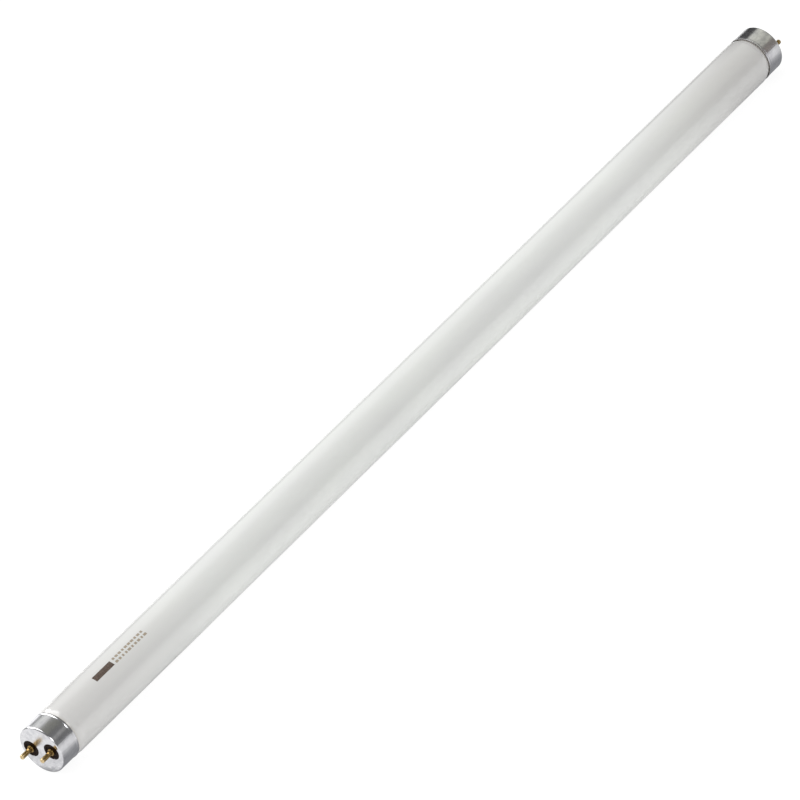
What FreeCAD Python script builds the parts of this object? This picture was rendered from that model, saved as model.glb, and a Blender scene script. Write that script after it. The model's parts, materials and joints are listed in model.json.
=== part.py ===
"""Straight fluorescent tube of the 600 mm class, with a two-pin cap at each end.

Frame: X runs along the tube, the origin is the middle of its axis, Z is up.
The two pins of each cap stand side by side along Y. Sizes are in millimetres.

A cap and all that it holds are drawn about the outer face of that cap: x = 0 is
the face, +X points out of the lamp. The right end keeps that direction, and the
left end is the same set of pieces turned round.
"""

import FreeCAD, Part
import math
import os

import Sketcher
from FreeCAD import Placement, Rotation, Vector

# Driving sizes, in millimetres
SIZES = {
    "cap_face_span": 589.8,
    "glass_dia": 25.5,
    "shoulder_length": 2.2,
    "shoulder_round": 1.9,
    "neck_root_round": 0.8,
    "neck_start": 0.3,
    "seal_depth": 4.6,
    "seal_thickness": 1.5,
    "seal_round": 0.65,
    "flare_depth": 12.0,
    "flare_round": 4.0,
    "stem_bore_dia": 9.5,
    "stem_depth": 20.0,
    "stem_bottom_round": 1.1,
    "stub_dia": 4.4,
    "stub_tip_round": 1.7,
    "stub_clearance": 1.6,
    "shell_wall": 0.35,
    "skirt_length": 11.5,
    "face_round": 0.8,
    "rim_length": 0.9,
    "rim_slope": 0.4,
    "rim_rise": 0.2,
    "rim_round": 0.35,
    "hole_edge_round": 0.12,
    "cement_gap": 0.45,
    "cement_setback": 1.9,
    "cement_length": 4.6,
    "cement_round": 0.2,
    "plate_thickness": 1.6,
    "plate_clearance": 0.06,
    "boss_dia": 8.1,
    "boss_rise": 0.1,
    "boss_round": 0.35,
    "boss_clearance": 0.18,
    "hole_land": 1.07,
    "boss_rim_width": 0.8,
    "dish_depth": 0.4,
    "dish_slope": 0.25,
    "dish_round": 0.12,
    "seat_margin": 0.3,
    "seat_height": 0.15,
    "pin_pitch": 12.7,
    "pin_dia": 2.35,
    "pin_length": 7.1,
    "pin_wall": 0.42,
    "pin_hole_clearance": 0.02,
    "tip_hole_clearance": 0.1,
    "tip_wall": 0.5,
    "tip_round": 0.55,
    "collar_dia": 3.6,
    "collar_thickness": 0.8,
    "collar_round": 0.25,
    "rivet_flare": 0.5,
    "crimp_place": 2.5,
    "crimp_width": 0.8,
    "crimp_radius": 1.1,
    "lead_dia": 0.5,
    "lead_grip": 2.0,
    "lead_bend_radius": 2.0,
    "lead_bend_in_flare": 3.0,
    "lead_bend_at_plate": 1.0,
    "lead_tip_setback": 0.15,
}

# Places and radii that several pieces share, each measured from the cap's face.
# The skirt leaves a land of metal round the outside of the boss holes, and the
# neck of the glass is drawn to fit the skirt.
PIN_AXIS = "(Sizes.pin_pitch / 2)"
BOSS = "(Sizes.boss_dia / 2)"
BOSS_HOLE = f"({BOSS} + Sizes.boss_clearance)"
SKIRT = f"({PIN_AXIS} + {BOSS_HOLE} + Sizes.hole_land + Sizes.face_round)"
SKIRT_BORE = f"({SKIRT} - Sizes.shell_wall)"
NECK = f"({SKIRT_BORE} - Sizes.cement_gap)"
PLATE_BACK = "(-Sizes.shell_wall - Sizes.plate_thickness)"
DISH_FLOOR = "(Sizes.boss_rise - Sizes.dish_depth)"
SEAT = f"({DISH_FLOOR} + Sizes.seat_height)"
PIN = "(Sizes.pin_dia / 2)"
PIN_BORE = f"({PIN} - Sizes.pin_wall)"
STEM_BORE = "(Sizes.stem_bore_dia / 2)"
STUB = "(Sizes.stub_dia / 2)"
STEM_BOTTOM = "(-Sizes.seal_depth - Sizes.stem_depth)"
LEAD = "(Sizes.lead_dia / 2)"
LEAD_AXIS = f"(({STEM_BORE} + {STUB}) / 2)"
CAP_FACE = "(Sizes.cap_face_span / 2)"

START, END, CENTRE = 1, 2, 3
X_AXIS, Y_AXIS, Z_AXIS = Vector(1, 0, 0), Vector(0, 1, 0), Vector(0, 0, 1)

document = FreeCAD.newDocument("FluorescentTube")


def make_sheet():
    """Write the driving sizes into a spreadsheet, one row for each, with its alias."""
    sheet = document.addObject("Spreadsheet::Sheet", "Sizes")
    for row, (alias, value) in enumerate(SIZES.items(), start=1):
        sheet.set(f"A{row}", alias)
        sheet.set(f"B{row}", str(value))
        sheet.setAlias(f"B{row}", alias)
    document.recompute()
    return sheet


def make_body(label):
    """Start the body of one sub-part."""
    body = document.addObject("PartDesign::Body", label)
    body.Label = label
    return body


def add_sketch(body, name, plane, offset=None):
    """Attach a sketch to one of the body's own planes, moved off it along its normal by offset."""
    sketch = body.newObject("Sketcher::SketchObject", name)
    sketch.AttachmentSupport = [(origin_plane(body, plane), "")]
    sketch.MapMode = "FlatFace"
    if offset:
        sketch.setExpression("AttachmentOffset.Base.z", offset)
    return sketch


def origin_plane(body, role):
    """Find one of the body's origin planes by its role."""
    for feature in body.Origin.OriginFeatures:
        if feature.Role == role:
            return feature
    raise RuntimeError(f"{body.Label} has no {role}")


def bind(sketch, constraint, expression):
    """Add a dimension to the sketch and tie it to the sheet."""
    index = sketch.addConstraint(constraint)
    sketch.setExpression(f"Constraints[{index}]", expression)


def place_point(sketch, geometry, position, across, up):
    """Dimension one point of the sketch from its origin."""
    x, y = sketch.evalExpression(across), sketch.evalExpression(up)
    bind(sketch, Sketcher.Constraint("DistanceX", -1, 1, geometry, position, float(x)), across)
    bind(sketch, Sketcher.Constraint("DistanceY", -1, 1, geometry, position, float(y)), up)


class Corner:
    """A corner of an outline, with its round worked out between its two neighbours."""

    def __init__(self, sketch, across, up, rounding=None):
        self.across, self.up, self.rounding = across, up, rounding
        self.point = Vector(float(sketch.evalExpression(across)), float(sketch.evalExpression(up)), 0)
        self.radius = float(sketch.evalExpression(rounding)) if rounding else 0.0
        self.enter = self.leave = self.point

    def fit_round(self, before, after):
        """Find where the round meets the runs towards the corners before and after this one."""
        back = (before.point - self.point).normalize()
        on = (after.point - self.point).normalize()
        half = back.getAngle(on) / 2
        reach = self.radius / math.tan(half)
        self.enter = self.point + back * reach
        self.leave = self.point + on * reach
        self.centre = self.point + (back + on).normalize() * (self.radius / math.sin(half))
        self.turns_left = (back.cross(on)).z < 0

    def arc(self):
        """The round as an arc, which always runs counter-clockwise."""
        first, last = (self.enter, self.leave) if self.turns_left else (self.leave, self.enter)
        angles = [math.atan2(p.y - self.centre.y, p.x - self.centre.x) for p in (first, last)]
        if angles[1] < angles[0]:
            angles[1] += 2 * math.pi
        return Part.ArcOfCircle(Part.Circle(self.centre, Z_AXIS, self.radius), *angles)


def draw_outline(sketch, places, closed=True):
    """Draw straight runs from corner to corner, with rounds, all dimensioned from the sheet.

    Each place is (across, up) or (across, up, round), as expressions on the sheet.
    """
    corners = [Corner(sketch, *place) for place in places]
    count = len(corners)
    inner = range(count) if closed else range(1, count - 1)
    for index in inner:
        if corners[index].rounding:
            corners[index].fit_round(corners[index - 1], corners[(index + 1) % count])
    runs = []
    for index in range(count if closed else count - 1):
        start, end = corners[index], corners[(index + 1) % count]
        runs.append(sketch.addGeometry(Part.LineSegment(start.leave, end.enter), False))
    for index in inner:
        join_runs(sketch, corners[index], runs[index - 1], runs[index])
    if not closed:
        place_point(sketch, runs[0], START, corners[0].across, corners[0].up)
        place_point(sketch, runs[-1], END, corners[-1].across, corners[-1].up)


def join_runs(sketch, corner, before, after):
    """Join two runs at their corner, sharp or through its round."""
    if not corner.rounding:
        sketch.addConstraint(Sketcher.Constraint("Coincident", before, END, after, START))
        place_point(sketch, after, START, corner.across, corner.up)
        return
    mark = sketch.addGeometry(Part.Point(corner.point), True)
    place_point(sketch, mark, START, corner.across, corner.up)
    round_arc = sketch.addGeometry(corner.arc(), False)
    enter, leave = (START, END) if corner.turns_left else (END, START)
    sketch.addConstraint([
        Sketcher.Constraint("PointOnObject", mark, START, before),
        Sketcher.Constraint("PointOnObject", mark, START, after),
        Sketcher.Constraint("Tangent", before, END, round_arc, enter),
        Sketcher.Constraint("Tangent", round_arc, leave, after, START),
    ])
    bind(sketch, Sketcher.Constraint("Radius", round_arc, corner.radius), corner.rounding)


def draw_circle(sketch, across, up, radius):
    """Draw a circle, dimensioned from the sheet."""
    x, y, r = (float(sketch.evalExpression(text)) for text in (across, up, radius))
    circle = sketch.addGeometry(Part.Circle(Vector(x, y, 0), Z_AXIS, r), False)
    place_point(sketch, circle, CENTRE, across, up)
    bind(sketch, Sketcher.Constraint("Radius", circle, r), radius)


def draw_segment(sketch, across, up, radius, chord):
    """Draw the part of a circle that lies below a level chord, dimensioned from the sheet."""
    x, y, r, level = (float(sketch.evalExpression(text)) for text in (across, up, radius, chord))
    half_angle = math.acos((y - level) / r)
    down = -math.pi / 2
    circle = Part.Circle(Vector(x, y, 0), Z_AXIS, r)
    bow = sketch.addGeometry(Part.ArcOfCircle(circle, down - half_angle, down + half_angle), False)
    half_chord = r * math.sin(half_angle)
    ends = Vector(x + half_chord, level, 0), Vector(x - half_chord, level, 0)
    top = sketch.addGeometry(Part.LineSegment(*ends), False)
    sketch.addConstraint([
        Sketcher.Constraint("Coincident", bow, END, top, START),
        Sketcher.Constraint("Coincident", top, END, bow, START),
        Sketcher.Constraint("Horizontal", top),
    ])
    place_point(sketch, bow, CENTRE, across, up)
    bind(sketch, Sketcher.Constraint("Radius", bow, r), radius)
    bind(sketch, Sketcher.Constraint("DistanceY", -1, 1, top, START, level), chord)


def revolve(body, name, sketch, axis="H_Axis"):
    """Turn a sketch once round an axis of its own."""
    feature = body.newObject("PartDesign::Revolution", name)
    feature.Profile = sketch
    feature.ReferenceAxis = (sketch, [axis])
    feature.Angle = 360
    return feature


def cut_through(body, name, sketch):
    """Cut a sketch right through the body, both ways from its plane."""
    feature = body.newObject("PartDesign::Pocket", name)
    feature.Profile = sketch
    feature.SideType = "Symmetric"
    feature.Type = "ThroughAll"
    return feature


def mirror(body, name, features, plane):
    """Repeat features on the other side of one of the body's planes."""
    feature = body.newObject("PartDesign::Mirrored", name)
    feature.Originals = features
    feature.MirrorPlane = (origin_plane(body, plane), [""])
    body.Tip = feature
    return feature


def circular_edges(shape, radius, place):
    """Names of the full circles of this radius that lie at this place along X."""
    near = 1e-4
    names = []
    for number, edge in enumerate(shape.Edges, start=1):
        curve = edge.Curve
        if not isinstance(curve, Part.Circle) or abs(curve.Radius - radius) > near:
            continue
        if abs(curve.Center.x - place) < near and abs(abs(curve.Axis.x) - 1) < near:
            names.append(f"Edge{number}")
    return names


def make_discharge_tube():
    """The sealed glass: a drawn tube with necked ends, each closed by a flared stem.

    The flare turns back into the tube from the sealed rim, and the tipped-off
    exhaust tube stands on its axis. Inside it is sealed and can't be seen into.
    """
    body = make_body("discharge_tube")
    shoulder_end = f"({CAP_FACE} - Sizes.skirt_length + Sizes.neck_start)"
    rim = f"({CAP_FACE} - Sizes.seal_depth)"
    bottom = f"({CAP_FACE} + {STEM_BOTTOM})"
    tip = f"({CAP_FACE} + {PLATE_BACK} - Sizes.stub_clearance)"
    flare_mouth = f"({NECK} - Sizes.seal_thickness)"
    outline = add_sketch(body, "GlassOutline", "XY_Plane")
    draw_outline(outline, [
        ("0", "0"),
        ("0", "Sizes.glass_dia / 2"),
        (f"{shoulder_end} - Sizes.shoulder_length", "Sizes.glass_dia / 2", "Sizes.shoulder_round"),
        (shoulder_end, NECK, "Sizes.neck_root_round"),
        (rim, NECK, "Sizes.seal_round"),
        (rim, flare_mouth, "Sizes.seal_round"),
        (f"{rim} - Sizes.flare_depth", STEM_BORE, "Sizes.flare_round"),
        (bottom, STEM_BORE, "Sizes.stem_bottom_round"),
        (bottom, STUB, "Sizes.stem_bottom_round"),
        (tip, STUB, "Sizes.stub_tip_round"),
        (tip, "0"),
    ])
    half = revolve(body, "GlassHalf", outline)
    grips = add_sketch(body, "LeadGrips", "YZ_Plane", f"{bottom} - Sizes.lead_grip")
    draw_circle(grips, LEAD_AXIS, "0", LEAD)
    draw_circle(grips, f"-{LEAD_AXIS}", "0", LEAD)
    holes = body.newObject("PartDesign::Pocket", "LeadHoles")
    holes.Profile = grips
    holes.Reversed = True
    holes.setExpression("Length", "Sizes.lead_grip * 2")
    mirror(body, "BothHalves", [half, holes], "YZ_Plane")
    return body


def make_cap_shell(end):
    """The drawn aluminium shell: flat face, skirt and a stepped-out rim on the glass side."""
    body = make_body(f"{end}_cap_shell")
    rim_start = "(Sizes.rim_length - Sizes.skirt_length)"
    skirt_end = f"({rim_start} + Sizes.rim_slope)"
    outline = add_sketch(body, f"{end}ShellSection", "XY_Plane")
    draw_outline(outline, [
        ("0", "0"),
        ("0", SKIRT, "Sizes.face_round"),
        (skirt_end, SKIRT, "Sizes.rim_round"),
        (rim_start, f"{SKIRT} + Sizes.rim_rise", "Sizes.rim_round"),
        ("-Sizes.skirt_length", f"{SKIRT} + Sizes.rim_rise", "Sizes.shell_wall * 0.4"),
        ("-Sizes.skirt_length", f"{SKIRT_BORE} + Sizes.rim_rise", "Sizes.shell_wall * 0.4"),
        (rim_start, f"{SKIRT_BORE} + Sizes.rim_rise", "Sizes.rim_round"),
        (skirt_end, SKIRT_BORE, "Sizes.rim_round"),
        ("-Sizes.shell_wall", SKIRT_BORE, "Sizes.face_round - Sizes.shell_wall"),
        ("-Sizes.shell_wall", "0"),
    ])
    revolve(body, f"{end}ShellTurned", outline)
    holes = add_sketch(body, f"{end}BossHoles", "YZ_Plane")
    draw_circle(holes, PIN_AXIS, "0", BOSS_HOLE)
    draw_circle(holes, f"-{PIN_AXIS}", "0", BOSS_HOLE)
    pierced = cut_through(body, f"{end}ShellPierced", holes)
    document.recompute()
    edges = circular_edges(pierced.Shape, float(body.evalExpression(BOSS_HOLE)), 0)
    rolled = body.newObject("PartDesign::Fillet", f"{end}HoleEdges")
    rolled.Base = (pierced, edges)
    rolled.setExpression("Radius", "Sizes.hole_edge_round")
    return body


def make_insulator(end):
    """The moulded phenolic plate, with a dished boss that fills each hole of the shell."""
    body = make_body(f"{end}_insulator")
    disc = add_sketch(body, f"{end}PlateDisc", "YZ_Plane", PLATE_BACK)
    draw_circle(disc, "0", "0", f"{SKIRT_BORE} - Sizes.plate_clearance")
    plate = body.newObject("PartDesign::Pad", f"{end}Plate")
    plate.Profile = disc
    plate.setExpression("Length", "Sizes.plate_thickness")
    document.recompute()
    plate_radius = float(body.evalExpression(f"{SKIRT_BORE} - Sizes.plate_clearance"))
    front = -float(body.evalExpression("Sizes.shell_wall"))
    eased = body.newObject("PartDesign::Chamfer", f"{end}PlateEdge")
    eased.Base = (plate, circular_edges(plate.Shape, plate_radius, front))
    eased.setExpression("Size", "Sizes.face_round - Sizes.shell_wall")

    section = add_sketch(body, f"{end}BossSection", "XY_Plane")
    edge = f"({PIN_AXIS} + {BOSS})"
    dish = f"({edge} - Sizes.boss_rim_width)"
    land = f"({PIN_AXIS} + Sizes.collar_dia / 2 + Sizes.seat_margin)"
    draw_outline(section, [
        (PLATE_BACK, PIN_AXIS),
        (PLATE_BACK, edge),
        ("Sizes.boss_rise", edge, "Sizes.boss_round"),
        ("Sizes.boss_rise", dish, "Sizes.dish_round"),
        (DISH_FLOOR, f"{dish} - Sizes.dish_slope", "Sizes.dish_round"),
        (DISH_FLOOR, land),
        (SEAT, land),
        (SEAT, PIN_AXIS),
    ])
    spin_axis = Part.LineSegment(Vector(-1, 0, 0), Vector(1, 0, 0))
    line = section.addGeometry(spin_axis, True)
    place_point(section, line, START, PLATE_BACK, PIN_AXIS)
    place_point(section, line, END, SEAT, PIN_AXIS)
    boss = revolve(body, f"{end}Boss", section, "Axis0")
    mirror(body, f"{end}Bosses", [boss], "XZ_Plane")

    pin_hole = f"{PIN} + Sizes.pin_hole_clearance"
    bores = add_sketch(body, f"{end}PinHoles", "YZ_Plane")
    draw_circle(bores, PIN_AXIS, "0", pin_hole)
    draw_circle(bores, f"-{PIN_AXIS}", "0", pin_hole)
    drilled = cut_through(body, f"{end}PinHolesCut", bores)
    document.recompute()
    back = float(body.evalExpression(PLATE_BACK))
    sunk = body.newObject("PartDesign::Chamfer", f"{end}RivetSeats")
    sunk.Base = (drilled, circular_edges(drilled.Shape, float(body.evalExpression(pin_hole)), back))
    sunk.setExpression("Size", "Sizes.rivet_flare")
    return body


def make_pin(label):
    """A hollow drawn pin: collar on the boss, flared end behind the plate, crimps, pierced tip."""
    body = make_body(label)
    collar_top = f"({SEAT} + Sizes.collar_thickness)"
    tip_inside = "(Sizes.pin_length - Sizes.tip_wall)"
    flare_top = f"({PLATE_BACK} + Sizes.rivet_flare)"
    tip_hole = f"({LEAD} + Sizes.tip_hole_clearance)"
    outline = add_sketch(body, f"{label}Section", "XY_Plane")
    draw_outline(outline, [
        (PLATE_BACK, f"{PIN} + Sizes.rivet_flare"),
        (flare_top, PIN),
        (SEAT, PIN),
        (SEAT, "Sizes.collar_dia / 2"),
        (collar_top, "Sizes.collar_dia / 2", "Sizes.collar_round"),
        (collar_top, PIN, "Sizes.collar_round / 2"),
        ("Sizes.pin_length", PIN, "Sizes.tip_round"),
        ("Sizes.pin_length", tip_hole),
        (tip_inside, tip_hole),
        (tip_inside, PIN_BORE),
        (flare_top, PIN_BORE),
        (PLATE_BACK, f"{PIN_BORE} + Sizes.rivet_flare"),
    ])
    revolve(body, f"{label}Turned", outline)

    # The press dents the wall until its inside meets the wire
    press_axis = f"({LEAD} + Sizes.pin_wall + Sizes.crimp_radius)"
    inside = add_sketch(body, f"{label}CrimpInside", "XZ_Plane")
    draw_segment(inside, "Sizes.crimp_place", press_axis, "Sizes.crimp_radius + Sizes.pin_wall", PIN_BORE)
    bulge = body.newObject("PartDesign::Pad", f"{label}CrimpBulge")
    outside = add_sketch(body, f"{label}CrimpOutside", "XZ_Plane")
    draw_circle(outside, "Sizes.crimp_place", press_axis, "Sizes.crimp_radius")
    dent = body.newObject("PartDesign::Pocket", f"{label}CrimpDent")
    widths = ("Sizes.crimp_width + Sizes.pin_wall", "Sizes.crimp_width")
    for feature, sketch, width in zip((bulge, dent), (inside, outside), widths):
        feature.Profile = sketch
        feature.SideType = "Symmetric"
        feature.setExpression("Length", width)
    mirror(body, f"{label}Crimps", [bulge, dent], "XY_Plane")
    return body


def make_lead(label):
    """A lead-in wire, from its grip in the glass out of the flare and through its pin."""
    body = make_body(label)
    route = add_sketch(body, f"{label}Route", "XY_Plane")
    start = f"({STEM_BOTTOM} - Sizes.lead_grip)"
    draw_outline(route, [
        (start, LEAD_AXIS),
        ("-Sizes.seal_depth - Sizes.lead_bend_in_flare", LEAD_AXIS, "Sizes.lead_bend_radius"),
        (f"{PLATE_BACK} - Sizes.lead_bend_at_plate", PIN_AXIS, "Sizes.lead_bend_radius"),
        ("Sizes.pin_length - Sizes.lead_tip_setback", PIN_AXIS),
    ], closed=False)
    section = add_sketch(body, f"{label}Section", "YZ_Plane", start)
    draw_circle(section, LEAD_AXIS, "0", LEAD)
    wire = body.newObject("PartDesign::AdditivePipe", f"{label}Wire")
    wire.Profile = section
    wire.Spine = route
    return body


def make_cement(end):
    """The ring of baked cement that bonds the shell's skirt to the neck of the glass."""
    body = make_body(f"{end}_cement_ring")
    mouth = "(Sizes.cement_setback - Sizes.skirt_length)"
    inner = f"({mouth} + Sizes.cement_length)"
    section = add_sketch(body, f"{end}CementSection", "XY_Plane")
    draw_outline(section, [
        (mouth, NECK, "Sizes.cement_round"),
        (inner, NECK, "Sizes.cement_round"),
        (inner, SKIRT_BORE, "Sizes.cement_round"),
        (mouth, SKIRT_BORE, "Sizes.cement_round"),
    ])
    revolve(body, f"{end}CementTurned", section)
    return body


def place(body, side, axis=None, across=None):
    """Move a piece to its cap, turned half round by the axis, and across to its own pin."""
    body.Placement = Placement(Vector(), Rotation(axis, 180) if axis else Rotation())
    body.setExpression("Placement.Base.x", f"{side} * {CAP_FACE}")
    if across:
        body.setExpression("Placement.Base.y", f"{across} * {PIN_AXIS}")
    return body


def build():
    """Make every sub-part and return the bodies."""
    make_sheet()
    bodies = [make_discharge_tube()]
    for end, side, turn in (("left", -1, Z_AXIS), ("right", 1, None)):
        for make in (make_cap_shell, make_insulator, make_cement):
            bodies.append(place(make(end), side, turn))
    pairs = (
        ("left_front", -1, -1, Z_AXIS),
        ("left_rear", -1, 1, Y_AXIS),
        ("right_front", 1, -1, X_AXIS),
        ("right_rear", 1, 1, None),
    )
    for name, side, across, turn in pairs:
        bodies.append(place(make_pin(f"{name}_pin"), side, turn, across))
        bodies.append(place(make_lead(f"{name}_lead_wire"), side, turn))
    document.recompute()
    return bodies


def check(bodies):
    """Stop if any object failed, or if a sub-part isn't one valid solid."""
    for item in document.Objects:
        if "Invalid" in item.State or "Error" in item.State:
            raise RuntimeError(f"{item.Label} failed: {item.State}")
        if item.isDerivedFrom("Sketcher::SketchObject") and not item.FullyConstrained:
            raise RuntimeError(f"{item.Label} isn't fully constrained")
    for body in bodies:
        shape = body.Shape
        if shape.isNull() or not shape.isValid() or len(shape.Solids) != 1:
            raise RuntimeError(f"{body.Label} isn't one valid solid")


def write_steps(bodies):
    """Write each sub-part to a STEP file of its own."""
    os.makedirs("parts", exist_ok=True)
    for body in bodies:
        body.Shape.exportStep(f"parts/{body.Label}.step")
        box = body.Shape.BoundBox
        print(f"{body.Label}: {body.Shape.Volume:.1f} mm3, x {box.XMin:.2f} to {box.XMax:.2f}")


made = build()
check(made)
write_steps(made)
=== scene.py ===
"""Straight fluorescent tube with two-pin caps, dressed and lit as in the photograph.

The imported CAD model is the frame: X runs along the tube, Z is up, and lengths are in metres.
Sizes of the lamp are named in millimetres here, and turned to metres where a mesh or a pattern
is made. Sizes of the stage are in metres. The glass, the cement rings, the contact pins and the
printed mark are made by Geometry Nodes, and the cap shells, the insulators and the lead-in
wires are the CAD's own solids with new finishes.
"""

from __future__ import annotations

import json
import logging
import math
from abc import ABC, abstractmethod
from dataclasses import dataclass
from enum import Enum

import bpy
from mathutils import Matrix, Vector

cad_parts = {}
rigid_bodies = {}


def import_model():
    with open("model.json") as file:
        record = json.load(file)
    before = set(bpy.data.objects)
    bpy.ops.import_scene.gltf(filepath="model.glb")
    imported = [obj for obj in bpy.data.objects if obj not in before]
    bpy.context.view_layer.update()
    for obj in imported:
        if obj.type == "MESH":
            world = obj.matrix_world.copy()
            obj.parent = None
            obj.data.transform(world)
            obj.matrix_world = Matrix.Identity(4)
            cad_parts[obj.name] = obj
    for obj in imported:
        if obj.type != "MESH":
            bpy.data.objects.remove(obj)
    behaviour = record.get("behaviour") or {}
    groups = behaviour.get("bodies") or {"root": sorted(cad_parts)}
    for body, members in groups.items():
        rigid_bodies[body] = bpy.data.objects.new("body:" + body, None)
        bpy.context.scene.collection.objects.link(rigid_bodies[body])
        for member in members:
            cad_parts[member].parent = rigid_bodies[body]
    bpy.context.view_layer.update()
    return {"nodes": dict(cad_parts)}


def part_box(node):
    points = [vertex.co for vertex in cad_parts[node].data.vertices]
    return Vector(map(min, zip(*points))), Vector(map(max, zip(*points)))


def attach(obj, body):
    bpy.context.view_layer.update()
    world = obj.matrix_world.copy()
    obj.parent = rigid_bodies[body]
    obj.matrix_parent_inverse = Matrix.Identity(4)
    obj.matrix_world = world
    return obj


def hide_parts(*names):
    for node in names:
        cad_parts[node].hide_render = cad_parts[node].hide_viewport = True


log = logging.getLogger("fluorescent_tube")

MM = 0.001
BODY = "root"

# Kinds of node that come up often
MATH = "ShaderNodeMath"
VECTOR_MATH = "ShaderNodeVectorMath"
MAP_RANGE = "ShaderNodeMapRange"
MIX = "ShaderNodeMix"
COMBINE = "ShaderNodeCombineXYZ"
SEPARATE = "ShaderNodeSeparateXYZ"
NOISE = "ShaderNodeTexNoise"

Outline = list[tuple[float, float]]
Size = tuple[float, float, float]
Change = tuple[float, float, str]


class End(Enum):
    """The two ends of the lamp, each with the direction its pins point along X."""

    LEFT = -1
    RIGHT = 1

    @property
    def word(self) -> str:
        """The end's name, as the CAD nodes have it."""
        return self.name.lower()


class Row(Enum):
    """The two pins of a cap, each with its side along Y."""

    FRONT = -1
    REAR = 1

    @property
    def word(self) -> str:
        """The row's name, as the CAD nodes have it."""
        return self.name.lower()


def linear(colour: str) -> tuple[float, float, float, float]:
    """Turn an sRGB hex colour to the linear values that Blender's sockets hold.

    Args:
        colour: the colour as "#RRGGBB".

    Returns:
        Red, green, blue and an alpha of 1.
    """
    parts = [int(colour[place:place + 2], 16) / 255 for place in (1, 3, 5)]
    red, green, blue = (
        part / 12.92 if part <= 0.04045 else ((part + 0.055) / 1.055) ** 2.4 for part in parts
    )
    return red, green, blue, 1.0


def add_node(
    tree: bpy.types.NodeTree, kind: str, inputs: dict | None = None, **settings: object
) -> bpy.types.Node:
    """Add a node with its settings, and fill or link its inputs.

    Args:
        tree: the tree that takes the node.
        kind: the node's type.
        inputs: a value, a socket or a node, which stands for its first output, for each input
            by name or number.
        **settings: the node's own properties.

    Returns:
        The new node.
    """
    node = tree.nodes.new(kind)
    for name, value in settings.items():
        setattr(node, name, value)
    for key, value in (inputs or {}).items():
        source = value.outputs[0] if isinstance(value, bpy.types.Node) else value
        if isinstance(source, bpy.types.NodeSocket):
            tree.links.new(source, node.inputs[key])
        else:
            node.inputs[key].default_value = source
    return node


def add_object(name: str, data: bpy.types.ID) -> bpy.types.Object:
    """Put a mesh, a light or a camera in the scene."""
    item = bpy.data.objects.new(name, data)
    bpy.context.scene.collection.objects.link(item)
    return item


def enclosed_volume(mesh: bpy.types.Mesh) -> float:
    """Measure the volume inside a closed mesh.

    Args:
        mesh: the mesh.

    Returns:
        Its volume in cubic millimetres, negative where its faces point inwards.
    """
    mesh.calc_loop_triangles()
    total = 0.0
    for triangle in mesh.loop_triangles:
        a, b, c = (mesh.vertices[index].co for index in triangle.vertices)
        total += a.dot(b.cross(c)) / 6
    return total / MM ** 3


def round_corners(places: list[tuple], closed: bool, longest: float, steps: int = 7) -> Outline:
    """Draw an outline of straight runs with rounded corners.

    Args:
        places: (along, out) or (along, out, round) for each corner, in millimetres.
        closed: whether the last corner runs back to the first.
        longest: the longest stretch of a straight run between two points.
        steps: stretches in each rounded corner.

    Returns:
        The points of the outline in order, with the first repeated last where it is closed.
    """
    corners = [(Vector(place[:2]), place[2] if len(place) > 2 else 0.0) for place in places]
    bends: list[Vector] = []
    for index, (point, radius) in enumerate(corners):
        if not radius:
            bends.append(point)
            continue
        back = (corners[index - 1][0] - point).normalized()
        onward = (corners[(index + 1) % len(corners)][0] - point).normalized()
        half = back.angle(onward) / 2
        centre = point + (back + onward).normalized() * radius / math.sin(half)
        first = point + back * radius / math.tan(half) - centre
        sweep = math.pi - 2 * half
        turn = math.copysign(sweep, back.x * onward.y - back.y * onward.x) * -1
        for step in range(steps + 1):
            bends.append(centre + Matrix.Rotation(turn * step / steps, 2) @ first)
    if closed:
        bends.append(bends[0])
    outline = [tuple(bends[0])]
    for start, end in zip(bends, bends[1:]):
        pieces = max(1, math.ceil((end - start).length / longest))
        outline += [tuple(start.lerp(end, part / pieces)) for part in range(1, pieces + 1)]
    return outline


@dataclass(frozen=True)
class Finish(ABC):
    """What every finish has: a name, a colour, and how rough, metallic and glossy it is."""

    name: str
    colour: str
    roughness: float
    metallic: float = 0.0
    specular: float = 0.5

    def uniform(self) -> dict[str, object]:
        """Name the values that are the same all over, by the shader's own sockets."""
        return {
            "Base Color": linear(self.colour),
            "Roughness": self.roughness,
            "Metallic": self.metallic,
            "Specular IOR Level": self.specular,
        }

    def start(self) -> tuple[bpy.types.Material, bpy.types.NodeTree, bpy.types.Node]:
        """Start the material with its uniform values.

        Returns:
            The material, its tree and its shader.
        """
        material = bpy.data.materials.new(self.name)
        material.use_nodes = True
        tree = material.node_tree
        shader = tree.nodes["Principled BSDF"]
        for socket, value in self.uniform().items():
            shader.inputs[socket].default_value = value
        return material, tree, shader

    @abstractmethod
    def material(self) -> bpy.types.Material:
        """Make the material."""


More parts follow.
